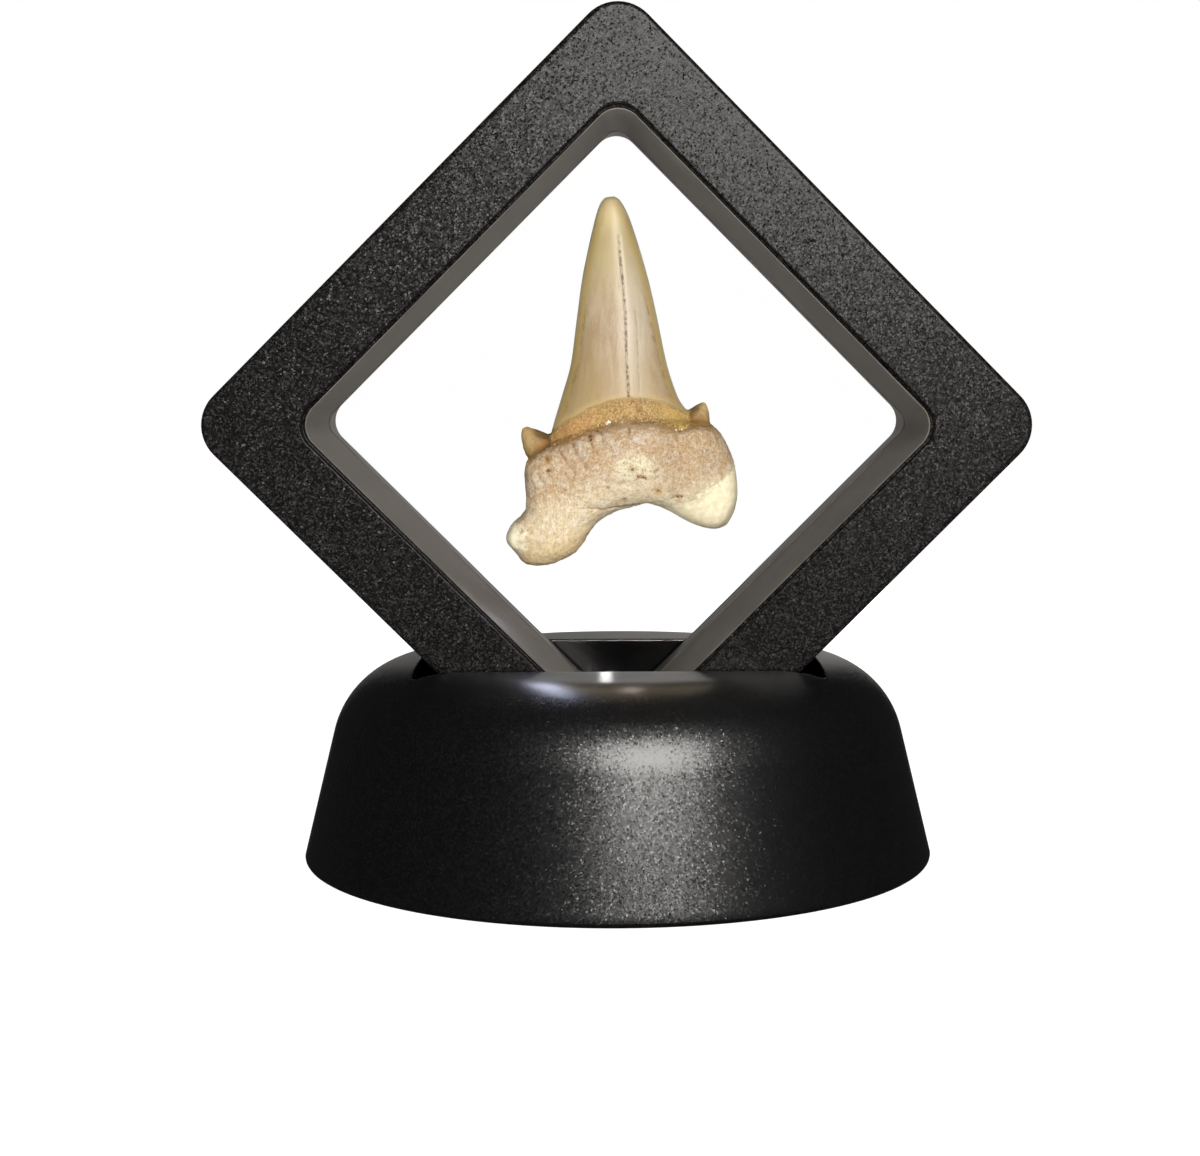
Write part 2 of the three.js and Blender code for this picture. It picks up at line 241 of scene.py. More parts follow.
SPLIT_DEPTH = 0.05
HAIRLINE_DEPTH = 0.02
RIDGE_HEIGHT = 0.05  # of the crown's middle, along the split
CRACK_DEPTH = 0.05
FURROW_DEPTH = 0.09
FURROW_BANK = 0.05
OUT_OF_REACH = 5  # what is added to the distance from a mark of the front on the tooth's back


def grain(points, per_mm, seed=0):
    """Smooth noise between -1 and 1 at each point."""
    shift = Vector((seed * 17.3, seed * 5.1, seed * 9.7))
    return np.array([noise.noise(Vector(p) * per_mm + shift) for p in points])


def ease(value, low, high):
    """0 below low, 1 above high, and a smooth step between them."""
    t = np.clip((value - low) / (high - low), 0, 1)
    return t * t * (3 - 2 * t)


def hump(distance, reach):
    """1 at no distance, falling to almost 0 at twice the reach."""
    return np.exp(-((distance / reach) ** 2))


def height_over(line, x, z):
    """How far each point lies above a line that is given by its corners."""
    return z - np.interp(x, *np.array(line).T)


def distance_from(line, x, z):
    """How far each point lies from a line through the given corners."""
    nearest = np.full(len(x), 1e9)
    for (x0, z0), (x1, z1) in zip(line, line[1:]):
        dx, dz = x1 - x0, z1 - z0
        t = np.clip(((x - x0) * dx + (z - z0) * dz) / (dx * dx + dz * dz), 0, 1)
        nearest = np.minimum(nearest, np.hypot(x - x0 - t * dx, z - z0 - t * dz))
    return nearest


def beside_split(x, z):
    """How far each point lies to the right of the crown's split."""
    split_x, split_z = np.array(SPLIT[::-1]).T
    return x - np.interp(z, split_z, split_x)


def vectors(source, attribute):
    """A mesh's coordinates or normals as an array with three columns."""
    values = np.zeros(len(source) * 3, np.float32)
    source.foreach_get(attribute, values)
    return values.reshape(-1, 3).astype(float)


skin = tooth.data
points = vectors(skin.vertices, "co")
normals = vectors(skin.vertex_normals, "vector")
x, y, z = points.T
is_front = ease(-normals[:, 1], -0.15, 0.25)
hidden = OUT_OF_REACH * (1 - is_front)
over_band = height_over(BAND_TOP, x, z)
over_neck = height_over(NECK, x, z)
band_wobble = 0.1 * grain(points, 1.6, 1)
on_enamel = ease(over_band + band_wobble, -0.2, 0.2)
on_root = ease(-over_neck + band_wobble, -0.1, 0.12)
in_band = (1 - on_enamel) * (1 - on_root)
bare_lobe = -height_over(BARE_LOBE, x, z) - 20 * ease(3.1 - x, 0, 2)
knob_x, knob_z, knob_radius = BARE_KNOB
bare_knob = knob_radius - np.hypot(x - knob_x, z - knob_z) + 0.5 * grain(points, 1.1, 7)
bare = np.maximum(bare_lobe, bare_knob)
bulge_x, bulge_z, bulge_wide, bulge_high = BULGE
bulge = hump(np.hypot((x - bulge_x) / bulge_wide, (z - bulge_z) / bulge_high), 1) * is_front
split = distance_from(SPLIT, x, z) + hidden
hairline = distance_from(HAIRLINE, x, z) + hidden
root_crack = np.min([distance_from(line, x, z) for line in ROOT_CRACKS], axis=0) + hidden
furrow = np.min([distance_from(line, x, z) for line in FURROWS], axis=0) + hidden
pit = np.full(len(x), 9.0)
pit_depth = np.zeros(len(x))
for pit_x, pit_z, radius, depth in PITS:
    away = np.hypot(x - pit_x, z - pit_z) + hidden
    pit = np.minimum(pit, away - radius)
    pit_depth = np.maximum(pit_depth, depth * hump(away, radius))
crystal = np.full(len(x), 9.0)
for crystal_x, crystal_z, radius in CRYSTALS:
    away = np.hypot(x - crystal_x, z - crystal_z) + hidden
    crystal = np.minimum(crystal, away - radius)

coarse, medium, fine = grain(points, 0.5, 2), grain(points, 1.3, 3), grain(points, 3.4, 4)
streaks = grain(points * (1, 1, 0.18), 2.2, 5)
groove = hump(over_neck, 0.2) * (0.55 + 0.6 * np.abs(grain(points, 1.1, 6)))
is_rough = on_root * (1 - 0.75 * ease(bare, -0.05, 0.1))
out = -BAND_STEP * (1 - on_enamel)
out += in_band * (0.04 * medium + 0.05 * fine)
out += 0.008 * streaks * on_enamel
out -= NECK_GROOVE * groove * ease(x, -8.6, -7.6) * ease(8.6 - x, 0, 0.6)
out += is_rough * (0.07 * coarse + 0.05 * medium + 0.045 * fine + 0.04 * streaks)
out += BULGE_HEIGHT * bulge
out -= WORN_DEPTH * ease(bare_lobe, -0.35, 0.25) * is_front
out += KNOB_HEIGHT * hump(np.hypot(x - knob_x, z - knob_z), 0.8)
out -= pit_depth
out += CRYSTAL_HEIGHT * ease(-crystal, -0.06, 0.04)
out -= SPLIT_DEPTH * hump(split, 0.12) + HAIRLINE_DEPTH * hump(hairline, 0.1)
out += RIDGE_HEIGHT * hump(beside_split(x, z), 0.8) * on_enamel * is_front
out -= CRACK_DEPTH * hump(root_crack, 0.1)
out -= is_rough * FURROW_DEPTH * hump(furrow, 0.2)
out += is_rough * FURROW_BANK * hump(furrow - 0.36, 0.18)
points += normals * out[:, None]

crown_left = [(-1, 19.25)] + [section[:2] for section in CROWN[1:8]]
crown_right = [(-0.15, 19.25)] + [section[2:4] for section in CROWN[1:8]]
crown_edge = np.minimum(distance_from(crown_left, x, z), distance_from(crown_right, x, z))
tooth_marks = {  # what the finish reads at each point of the skin, most of it in millimetres
    "enamel": over_band,
    "root": -over_neck,
    "bare": bare,
    "bulge": bulge,
    "split": split,
    "hairline": hairline,
    "crack": root_crack,
    "pit": pit,
    "crystal": crystal,
    "outward": np.abs(x),
    "furrow": furrow,
    "edge": crown_edge,
    "rightward": beside_split(x, z),
    "cusplet": ease(np.abs(x - 0.2), 5.7, 6.2) * ease(over_neck, -0.1, 0.2),
}
for name, values in tooth_marks.items():
    mark = skin.attributes.new(name, "FLOAT", "POINT")
    mark.data.foreach_set("value", values.astype(np.float32))
points[:, 2] += MIDDLE_Z
skin.vertices.foreach_set("co", (points * MM).astype(np.float32).ravel())
skin.update()
tooth_points = points


# ---- The tooth's finish --------------------------------------------------------------------
# Polished tan enamel with darker margins, an orange-brown band of crusted grains, a dull
# pinkish root and cream patches where its skin has gone. It is all bare mineral, never painted,
# but a few marks below paint light and shade into its colours.


class Wire:
    """A socket of a node tree. Arithmetic on it adds Math nodes to the tree."""

    def __init__(self, tree, socket=None):
        self.tree = tree
        self.socket = socket

    def add(self, kind, settings=None, inputs=None, output=0):
        """Adds a node: its settings first, then its sockets' values or links."""
        node = self.tree.nodes.new(kind)
        for key, value in (settings or {}).items():
            setattr(node, key, value)
        for key, value in (inputs or {}).items():
            if isinstance(value, Wire):
                self.tree.links.new(value.socket, node.inputs[key])
            else:
                node.inputs[key].default_value = value
        return Wire(self.tree, node.outputs[output] if node.outputs else None)

    def maths(self, operation, *operands):
        """One Math node on these operands."""
        return self.add("ShaderNodeMath", {"operation": operation}, dict(enumerate(operands)))

    def __add__(self, other):
        return self.maths("ADD", self, other)

    def __radd__(self, other):
        return self.maths("ADD", other, self)

    def __sub__(self, other):
        return self.maths("SUBTRACT", self, other)

    def __rsub__(self, other):
        return self.maths("SUBTRACT", other, self)

    def __mul__(self, other):
        return self.maths("MULTIPLY", self, other)

    def __rmul__(self, other):
        return self.maths("MULTIPLY", other, self)

    def __pow__(self, other):
        return self.maths("POWER", self, other)

    def step(self, low, high):
        """0 where this is below low and 1 above high, or the other way round."""
        return self.add(
            "ShaderNodeMapRange", {"interpolation_type": "SMOOTHSTEP"}, {0: self, 1: low, 2: high}
        )

    def mixed(self, low, high):
        """The colour low where this is 0, and the colour high where it is 1."""
        return self.add("ShaderNodeMix", {"data_type": "RGBA"}, {0: self, 6: low, 7: high}, 2)

    def stretched(self, factors):
        """This place with its axes scaled, so that a pattern on it is squeezed or drawn out."""
        return self.add(
            "ShaderNodeVectorMath", {"operation": "MULTIPLY"}, {0: self, 1: factors}
        )

    def turned(self, angle):
        """This place turned about a slanting axis, so that no pattern's grid lies in a face."""
        return self.add(
            "ShaderNodeVectorRotate",
            None,
            {"Vector": self, "Axis": (0.6, 0.5, 0.62), "Angle": angle},
        )

    def cloud(self, per_mm, detail=2, roughness=0.5):
        """Noise at this place, from 0 to 1 and mostly near 0.5."""
        return self.add(
            "ShaderNodeTexNoise",
            None,
            {"Vector": self, "Scale": per_mm, "Detail": detail, "Roughness": roughness},
        )

    def cells(self, per_mm, output=0):
        """Distance to the nearest of scattered points, or another output of the pattern."""
        return self.add("ShaderNodeTexVoronoi", None, {"Vector": self, "Scale": per_mm}, output)


def shade(red, green, blue):
    """A colour given as it looks on a screen, from 0 to 255, as the renderer takes it."""
    linear = [
        c / 12.92 if c <= 0.04045 else ((c + 0.055) / 1.055) ** 2.4
        for c in (red / 255, green / 255, blue / 255)
    ]
    return (*linear, 1)


def start_material(name):
    """A new material, a Wire to build it with, and the place on the piece in millimetres."""
    material = bpy.data.materials.new(name)
    material.use_nodes = True
    tree = material.node_tree
    tree.nodes.clear()
    here = Wire(tree)
    place = here.add("ShaderNodeTexCoord", None, None, "Object").stretched((1 / MM,) * 3)
    return material, here, place


def finish_material(here, inputs):
    """Ends a material in one Principled surface with the given sockets."""
    surface = here.add("ShaderNodeBsdfPrincipled", None, inputs)
    here.add("ShaderNodeOutputMaterial", None, {"Surface": surface})


def relief(here, height, depth):
    """A surface normal tilted by a height from 0 to 1, which stands for a depth in millimetres."""
    return here.add("ShaderNodeBump", None, {"Height": height, "Distance": depth * MM})


fossil, here, place = start_material("fossil_tooth")
marks = {
    name: here.add("ShaderNodeAttribute", {"attribute_name": name}, None, "Fac")
    for name in tooth_marks
}
oblique = place.turned(0.9)
speckle = oblique.cloud(6, 2, 0.6)
clump = oblique.cloud(3.2, 4, 0.7)
mottle = oblique.cloud(1.8, 5, 0.68)
blotch = place.cloud(0.7, 3, 0.55)
fibre = place.stretched((1, 1, 0.3)).cloud(4.5, 3, 0.65)
long_streak = place.stretched((1, 1, 0.09)).cloud(2.4, 3, 0.6)
fine_streak = place.stretched((1, 1, 0.04)).cloud(8, 2, 0.6)

# Enamel: tan, pinker in long streaks low down, yellower at the tip and just inside its edges,
# with a painted highlight beside the split.
enamel = long_streak.step(0.4, 0.62).mixed(shade(156, 142, 118), shade(145, 125, 102))
enamel = (fine_streak.step(0.48, 0.64) * 0.45).mixed(enamel, shade(141, 110, 88))
enamel = (speckle.step(0.52, 0.7) * 0.35).mixed(enamel, shade(170, 158, 137))
low_down = marks["enamel"].step(15, 6)
enamel = (1 - low_down).mixed(enamel, shade(157, 142, 104))
at_tip = marks["enamel"].step(13.5, 17)
enamel = (at_tip * 0.9).mixed(enamel, shade(200, 180, 136))
low_left = marks["rightward"].step(-1.6, -3.2) * marks["enamel"].step(9, 5)
enamel = (low_left * 0.5).mixed(enamel, shade(134, 112, 70))
# Painted highlight: a lighter, greyer stripe right of the split, where the crown's ridge turns to
# the lamp.
painted_sheen_beside_split = marks["rightward"].step(-0.05, 0.3) * marks["rightward"].step(2.3, 1.3)
enamel = (painted_sheen_beside_split * low_down * (0.2 + 0.6 * mottle)).mixed(enamel, shade(172, 163, 145))
low_tan = marks["enamel"].step(6, 0.5)
enamel = (low_tan * 0.55).mixed(enamel, shade(146, 125, 86))
off_tip = 1 - 0.75 * marks["enamel"].step(14, 17)
margin = marks["edge"] + (long_streak - 0.5) * 0.6
enamel = (margin.step(0.95, 0.35) * off_tip * 0.8).mixed(enamel, shade(159, 137, 84))
margin_line = margin.step(0.5, 0.62) * margin.step(0.86, 0.72) * mottle.step(0.42, 0.56)
margin_line = margin_line * marks["enamel"].step(11, 7)
enamel = (margin_line * off_tip * 0.5).mixed(enamel, shade(112, 90, 46))
# The thin pale rim on the outline: the enamel's greyish edge, brightened as a painted highlight of
# its translucent edge.
enamel = (marks["edge"].step(0.28, 0.08) * 0.6).mixed(enamel, shade(177, 168, 137))
foot_line = (marks["enamel"] + (mottle - 0.5) * 0.8).step(0.75, 0.1)
enamel = (foot_line * 0.7).mixed(enamel, shade(166, 143, 97))
split_dots = place.cloud(2.2, 3, 0.7).step(0.45, 0.53)
split_line = (marks["split"] + (speckle - 0.5) * 0.16).step(0.16, 0.06)
enamel = (split_line * (0.3 + 0.7 * split_dots)).mixed(enamel, shade(75, 52, 15))
hair_line = (marks["hairline"] + (speckle - 0.5) * 0.08).step(0.08, 0.02)
enamel = (hair_line * mottle.step(0.4, 0.55) * 0.6).mixed(enamel, shade(101, 77, 46))

# The band: crusted grains from olive gold to brown, darkest at the neck, partly by painted shade.
band = blotch.step(0.42, 0.6).mixed(shade(164, 135, 81), shade(148, 120, 72))
band = (mottle.step(0.46, 0.64) * 0.55).mixed(band, shade(145, 97, 52))
band = (clump.step(0.5, 0.62) * 0.5).mixed(band, shade(96, 69, 31))
band = (speckle.step(0.5, 0.6) * 0.45).mixed(band, shade(96, 69, 31))
band = (speckle.step(0.45, 0.34) * 0.35).mixed(band, shade(200, 184, 140))
right_half = marks["rightward"].step(1.5, 4.5)
band = (right_half * 0.5).mixed(band, shade(196, 163, 84))
band = (marks["rightward"].step(-1.5, -4) * 0.3).mixed(band, shade(192, 141, 88))
# Darker at the neck: partly the band's own brown, partly painted shade of the groove under the
# enamel.
neck_stain_and_shade = (marks["root"] + (mottle - 0.5) * 1.6 + (speckle - 0.5) * 1.2).step(-0.45, -0.1)
band = (neck_stain_and_shade * 0.6).mixed(band, shade(96, 67, 30))

# The root: tan, ochre and greyish in patches with brown and pale grains; the low part is paler,
# partly by painted light, and there is a cream bulge in the middle.
root = mottle.step(0.38, 0.62).mixed(shade(165, 140, 109), shade(182, 166, 141))
root = (blotch.step(0.5, 0.62) * 0.5).mixed(root, shade(163, 130, 88))
root = (blotch.step(0.45, 0.36) * 0.5).mixed(root, shade(179, 168, 156))
# Paler low down: the root's own lighter tone, raised further as painted light on lobes that turn
# from the lamp.
low_root = marks["root"].step(2.8, 6.5)
pale = mottle.step(0.35, 0.65).mixed(shade(205, 186, 148), shade(219, 209, 186))
root = (low_root * 0.75).mixed(root, pale)
root = (right_half * 0.3).mixed(root, shade(143, 118, 82))
end_stain = marks["root"].step(7.2, 9.2) * (1 - marks["bare"].step(-1.2, 0))
root = (end_stain * mottle.step(0.35, 0.55) * 0.65).mixed(root, shade(207, 176, 113))
root = (marks["bulge"].step(0.2, 0.8) * mottle.step(0.25, 0.5)).mixed(root, shade(200, 192, 163))
root = (fibre.step(0.5, 0.66) * 0.35).mixed(root, shade(131, 100, 64))
grains = 0.5 - 0.25 * low_root
root = (clump.step(0.5, 0.66) * grains).mixed(root, shade(142, 107, 65))
root = (clump.step(0.46, 0.36) * grains * 0.6).mixed(root, shade(203, 198, 179))
root = (speckle.step(0.52, 0.66) * grains).mixed(root, shade(124, 91, 50))
root = (speckle.step(0.44, 0.32) * grains * 0.6).mixed(root, shade(210, 204, 188))
furrow_line = (marks["furrow"] + (speckle - 0.5) * 0.5 + (mottle - 0.5) * 0.5).step(0.16, 0)
root = (furrow_line * marks["root"].step(3.6, 0.2) * 0.75).mixed(root, shade(122, 82, 34))
under_neck = (marks["root"] + (mottle - 0.5) * 2 + (speckle - 0.5) * 1.2).step(0.7, 0.1)
root = (under_neck * 0.5).mixed(root, shade(124, 93, 50))
root_line = (marks["crack"] + (speckle - 0.5) * 0.2).step(0.1, 0.02)
root = (root_line * mottle.step(0.4, 0.5) * 0.75).mixed(root, shade(108, 73, 38))
around_pit = (marks["pit"] + (mottle - 0.5) * 0.6).step(0.3, 0)
root = (around_pit * 0.4).mixed(root, shade(149, 107, 51))
pit_colour = (marks["pit"] + (speckle - 0.5) * 0.45).step(0.04, -0.08)
root = (pit_colour * 0.85).mixed(root, shade(80, 52, 19))

# Bare patches: smooth cream, a little greenish, with a few grey specks. The knob's is palest
# and has an ochre rim.
cream = mottle.step(0.35, 0.68).mixed(shade(200, 188, 154), shade(216, 206, 178))
cream = marks["rightward"].step(-6, -8).mixed(cream, shade(235, 227, 196))
cream = (place.cells(1.1).step(0.1, 0.05) * 0.45).mixed(cream, shade(157, 143, 115))
bare_edge = marks["bare"] + (mottle - 0.5) * 3 + (speckle - 0.5) * 1.2
knob_rim = bare_edge.step(-1.5, -0.9) * bare_edge.step(-0.1, -0.8)
knob_rim = knob_rim * marks["rightward"].step(-6, -7.5)

# Cusplets: enamel, greenish on the outer side, brown where it meets the band, and darkened by
# painted shade along the upper edge that faces the crown.
side_cusp = marks["outward"].step(5.9, 7.6).mixed(shade(136, 100, 58), shade(155, 131, 88))
side_cusp = (mottle.step(0.45, 0.65) * 0.4).mixed(side_cusp, shade(176, 143, 96))
side_cusp = (marks["root"].step(-1.2, -0.2) * 0.5).mixed(side_cusp, shade(137, 94, 44))
side_cusp = (speckle.step(0.54, 0.66) * 0.4).mixed(side_cusp, shade(113, 80, 40))
under_edge = marks["root"] + marks["outward"] * 0.95 - 4.9
crown_facing_shade = under_edge.step(0.7, 0.1) * marks["outward"].step(7.6, 6.8)
# Painted shade along the upper edge, in the nook between cusplet and crown.
side_cusp = (crown_facing_shade * 0.75).mixed(side_cusp, shade(84, 66, 32))

# Where each finish lies, with crumbling borders between them.
is_enamel = (marks["enamel"] + (speckle - 0.5) * 0.6 + (mottle - 0.5) * 0.5).step(-0.22, 0.15)
is_root = (marks["root"] + (speckle - 0.5) * 0.5 + (mottle - 0.5) * 0.8).step(-0.12, 0.12)
is_bare = bare_edge.step(-1.1, 0.5) * is_root
is_cusp = marks["cusplet"] + (mottle - 0.5) * 1.2 + (speckle - 0.5) * 0.8
is_cusp = is_cusp.step(0.1, 0.9) * (1 - is_root)
colour = is_enamel.mixed(band, enamel)
colour = is_root.mixed(colour, root)
colour = is_bare.mixed(colour, cream)
colour = (knob_rim * is_root * 0.25).mixed(colour, shade(164, 122, 60))
colour = is_cusp.mixed(colour, side_cusp)
is_crystal = (marks["crystal"] + (speckle - 0.5) * 0.25).step(0.03, -0.05)
colour = is_crystal.mixed(colour, shade(250, 246, 234))

rough_part = (1 - is_enamel) * (1 - 0.8 * is_bare) * (1 - 0.8 * is_cusp)
relief_height = rough_part * (speckle * 0.6 + mottle * 0.5 + fibre * 0.4) + fine_streak * 0.06
finish_material(
    here,
    {
        "Base Color": colour,
        "Roughness": 0.34 + 0.4 * rough_part + 0.2 * is_bare,
        "Normal": relief(here, relief_height, 0.2),
        "Specular IOR Level": 0.5,
    },
)
tooth.data.materials.clear()
tooth.data.materials.append(fossil)
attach(tooth, "root")
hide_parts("tooth")


# ---- The films -----------------------------------------------------------------------------
# Two sheets of clear stretch film. Each is clamped flat all round in its half of the frame and
# is drawn tight over the tooth, so it stands out like a tent over the tooth's highest points.

FILM_OPENING = 35.8  # side of the window that a film spans
FILM_SEAT = 2.2  # how far a film reaches into the frame
FILM_CELLS = 72  # along each side of the window
FILM_SWEEPS = 4000  # rounds of pulling the film tight
FILM_THICKNESS = 0.08
FILM_REST = 0.25  # height of a film's middle over the seam, where it is clamped


def film_body(side):
    """A film's points and faces, relaxed from the tooth's points like a stretched sheet."""
    rim = FILM_OPENING / 2 + FILM_SEAT
    free = FILM_OPENING / 2
    inner = np.linspace(-free, free, FILM_CELLS + 1)
    lines = np.concatenate([[-rim], inner, [rim]])
    u = (tooth_points[:, 0] + tooth_points[:, 2] - MIDDLE_Z) * math.sqrt(0.5)
    v = (tooth_points[:, 2] - MIDDLE_Z - tooth_points[:, 0]) * math.sqrt(0.5)
    lift = side * tooth_points[:, 1] + FILM_THICKNESS
    least = np.full((len(lines), len(lines)), FILM_REST)
    cell_u = np.floor((u + free) / (2 * free) * FILM_CELLS).astype(int) + 1
    cell_v = np.floor((v + free) / (2 * free) * FILM_CELLS).astype(int) + 1
    for i in (0, 1):
        for j in (0, 1):
            np.maximum.at(least, (cell_u + i, cell_v + j), lift)
    height = least.copy()
    for _ in range(FILM_SWEEPS):
        middle = height[2:-2, 2:-2]
        around = height[1:-3, 2:-2] + height[3:-1, 2:-2] + height[2:-2, 1:-3] + height[2:-2, 3:-1]
        middle[...] = np.maximum(least[2:-2, 2:-2], around / 4)
    grid_u, grid_v = np.meshgrid(lines, lines, indexing="ij")
    skins = []
    for face in (0.5, -0.5):
        out = side * (height + face * FILM_THICKNESS)
        across = (grid_u - grid_v) * math.sqrt(0.5)
        up = (grid_u + grid_v) * math.sqrt(0.5) + MIDDLE_Z
        skins.append(np.stack([across, out, up], axis=-1).reshape(-1, 3))
    count = len(lines)
    lower = count * count
    faces = []
    for i in range(count - 1):
        for j in range(count - 1):
            a = i * count + j
            for b in (a, lower + a):
                faces.append((b, b + 1, b + count + 1, b + count))
        far = (count - 1) * count
        for a, b in (
            (i * count, (i + 1) * count),
            ((i + 1) * count - 1, (i + 2) * count - 1),
            (i, i + 1),
            (far + i, far + i + 1),
        ):
            faces.append((a, b, lower + b, lower + a))
    return np.vstack(skins), faces


clear, here, place = start_material("clear_film")
dust = place.cells(0.9).step(0.05, 0.02) * 0.01
ripple = place.cloud(0.12, 1, 0.5)
film_mirror = here.add("ShaderNodeFresnel", None, {"IOR": 1.45})
finish_material(
    here,
    {
        "Base Color": shade(240, 242, 244),
        "Metallic": 1,
        "Roughness": 0.06 + 0.1 * place.cloud(0.5, 2, 0.5),
        "Alpha": film_mirror * 0.03 + dust,
        "Normal": relief(here, ripple, 0.3),
    },
)
for film_name, side in (("front_film", -1), ("back_film", 1)):
    film = new_piece(film_name + "_dressed", *film_body(side))
    film.data.materials.append(clear)
    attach(film, "root")
    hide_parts(film_name)


# ---- The display frame ---------------------------------------------------------------------
# Two square moulded halves in black plastic that close on the films like a locket. The faces
# have a coarse spark-eroded grain, and the walls round the window are plain and satin, their grey
# a painted sheen.

FRAME_HALF = 25  # half of the frame's side
FACE = 10  # depth of a face from the seam
OPENING = 18.95  # half of the window's side at the face
SEAM = 0.004  # half of the gap between the two halves
OUTER_CORNER = 3.4
INNER_CORNER = 2.2
WINDOW_CORNER = 1.3
SEAT_CORNER = 0.6
EDGE_ROUND = 0.5
EDGE_BREAK = 0.12  # on the edges at the seam and round the window
CORNER_STEPS = 12


def diamond(half_side, corner, y):
    """A ring round a square with rounded corners that stands on one corner."""
    ring = []
    for quarter in range(4):
        across = quarter * math.pi / 2
        middle = (half_side - corner) * math.sqrt(2)
        for turn in np.linspace(-math.pi / 4, math.pi / 4, CORNER_STEPS + 1):
            ring.append(
                (
                    middle * math.cos(across) + corner * math.cos(across + turn),
                    y,
                    middle * math.sin(across) + corner * math.sin(across + turn) + MIDDLE_Z,
                )
            )
    return np.array(ring)


def quarter_turn(radius, steps=4):
    """Insets and drops round a quarter circle, from its upright end to its flat end."""
    turns = np.linspace(0, math.pi / 2, steps + 1)
    return [(radius * (1 - math.cos(t)), radius * (1 - math.sin(t))) for t in turns]


def frame_half(side):
    """The rings of one half, from the seam round its section, and where its satin wall starts."""
    window = FILM_OPENING / 2
    seat = FILM_REST + FILM_THICKNESS
    section = [
        (FRAME_HALF - EDGE_BREAK, OUTER_CORNER, SEAM),
        (FRAME_HALF, OUTER_CORNER, SEAM + 0.1),
    ]
    for inset, drop in quarter_turn(EDGE_ROUND, 5):
        section.append((FRAME_HALF - inset, OUTER_CORNER - inset, FACE - drop))
    for inset, drop in reversed(quarter_turn(EDGE_BREAK, 3)):
        section.append((OPENING + inset, INNER_CORNER + inset, FACE - drop))
    # A fine groove and a low bead run round inside the window, just behind its edge.
    section += [
        (OPENING - 0.02, INNER_CORNER, FACE - 0.55),
        (OPENING - 0.06, INNER_CORNER, FACE - 0.66),
        (OPENING - 0.2, INNER_CORNER - 0.05, FACE - 0.66),
        (OPENING - 0.25, INNER_CORNER - 0.1, FACE - 0.55),
        (OPENING - 0.27, INNER_CORNER - 0.1, FACE - 0.42),
        (OPENING - 0.33, INNER_CORNER - 0.1, FACE - 0.36),
        (OPENING - 0.38, INNER_CORNER - 0.12, FACE - 0.4),
    ]
    satin_start = len(section) - 3  # the bead is as smooth as the wall behind it
    section += [
        (window, WINDOW_CORNER, seat + 0.15),
        (window + 0.08, WINDOW_CORNER, seat),
        (window + FILM_SEAT + 0.1, SEAT_CORNER, seat),
        (window + FILM_SEAT + 0.1, SEAT_CORNER, SEAM),
    ]
    return [diamond(size, corner, side * depth) for size, corner, depth in section], satin_start


def even_normals(piece):
    """Flat faces stay flat to the light beside narrow roundings."""
    modifier = piece.modifiers.new("even_normals", "WEIGHTED_NORMAL")
    modifier.weight = 100


def crumbled_normal(here, crumb_colour, tilt):
    """A surface normal that leans at random on each small crumb, a little or now and then more."""
    lean = here.add(
        "ShaderNodeVectorMath", {"operation": "SUBTRACT"}, {0: crumb_colour, 1: (0.5, 0.5, 0.5)}
    )
    size = here.add("ShaderNodeVectorMath", {"operation": "LENGTH"}, {0: lean}, 1)
    lean = here.add(
        "ShaderNodeVectorMath", {"operation": "SCALE"}, {0: lean, "Scale": size * size * tilt}
    )
    upright = here.add("ShaderNodeNewGeometry", None, None, "Normal")
    return here.add("ShaderNodeVectorMath", {"operation": "ADD"}, {0: lean, 1: upright})


CRUMBS_PER_MM = 7.5
SLOT_FADE = 0.1  # how far past the slot's wall its polish ends
TOP_FADE = 0.7  # height over which the grain dies out near the top


def sparked_plastic(name, base, painted_glint, roughness, tilt, sheen_level, smooth_parts=None):
    """Black plastic with the grain of an eroded mould, but smooth in a slot and above a height.

    smooth_parts gives half the slot's length, half its width and that height.
    """
    material, here, place = start_material(name)
    crumb_colour = place.cells(CRUMBS_PER_MM, 1)
    crumb = here.add("ShaderNodeSeparateColor", None, {0: crumb_colour})
    is_grained, in_slot = 1, 0
    if smooth_parts:
        half_length, half_width, height = smooth_parts
        in_slot = 1
        for axis, reach in (("X", half_length), ("Y", half_width)):
            across = here.add("ShaderNodeSeparateXYZ", None, {0: place}, axis)
            in_slot = in_slot * across.step(-reach - SLOT_FADE, -reach)
            in_slot = in_slot * across.step(reach + SLOT_FADE, reach)
        up = here.add("ShaderNodeSeparateXYZ", None, {0: place}, "Z")
        is_grained = up.step(height, height - TOP_FADE) * (1 - in_slot)
    tone = place.cloud(0.18, 2, 0.5)
    tone = tone.step(0.3, 0.7).mixed(shade(*[c * 0.85 for c in base]), shade(*base))
    finish_material(
        here,
        {
            # Lighter crumbs in the base colour are painted glints; the crumbs' tilted normals add
            # real ones.
            "Base Color": (crumb**3 * is_grained).mixed(tone, shade(*painted_glint)),
            "Roughness": 0.04 * place.cloud(0.6, 2, 0.5) + roughness * (1 - 0.5 * in_slot),
            "Normal": crumbled_normal(here, crumb_colour, tilt * is_grained),
            "Specular IOR Level": sheen_level,
        },
    )
    return material


face_plastic = sparked_plastic("sparked_frame_plastic", (10, 9, 9), (44, 42, 41), 0.25, 0.6, 0.27)

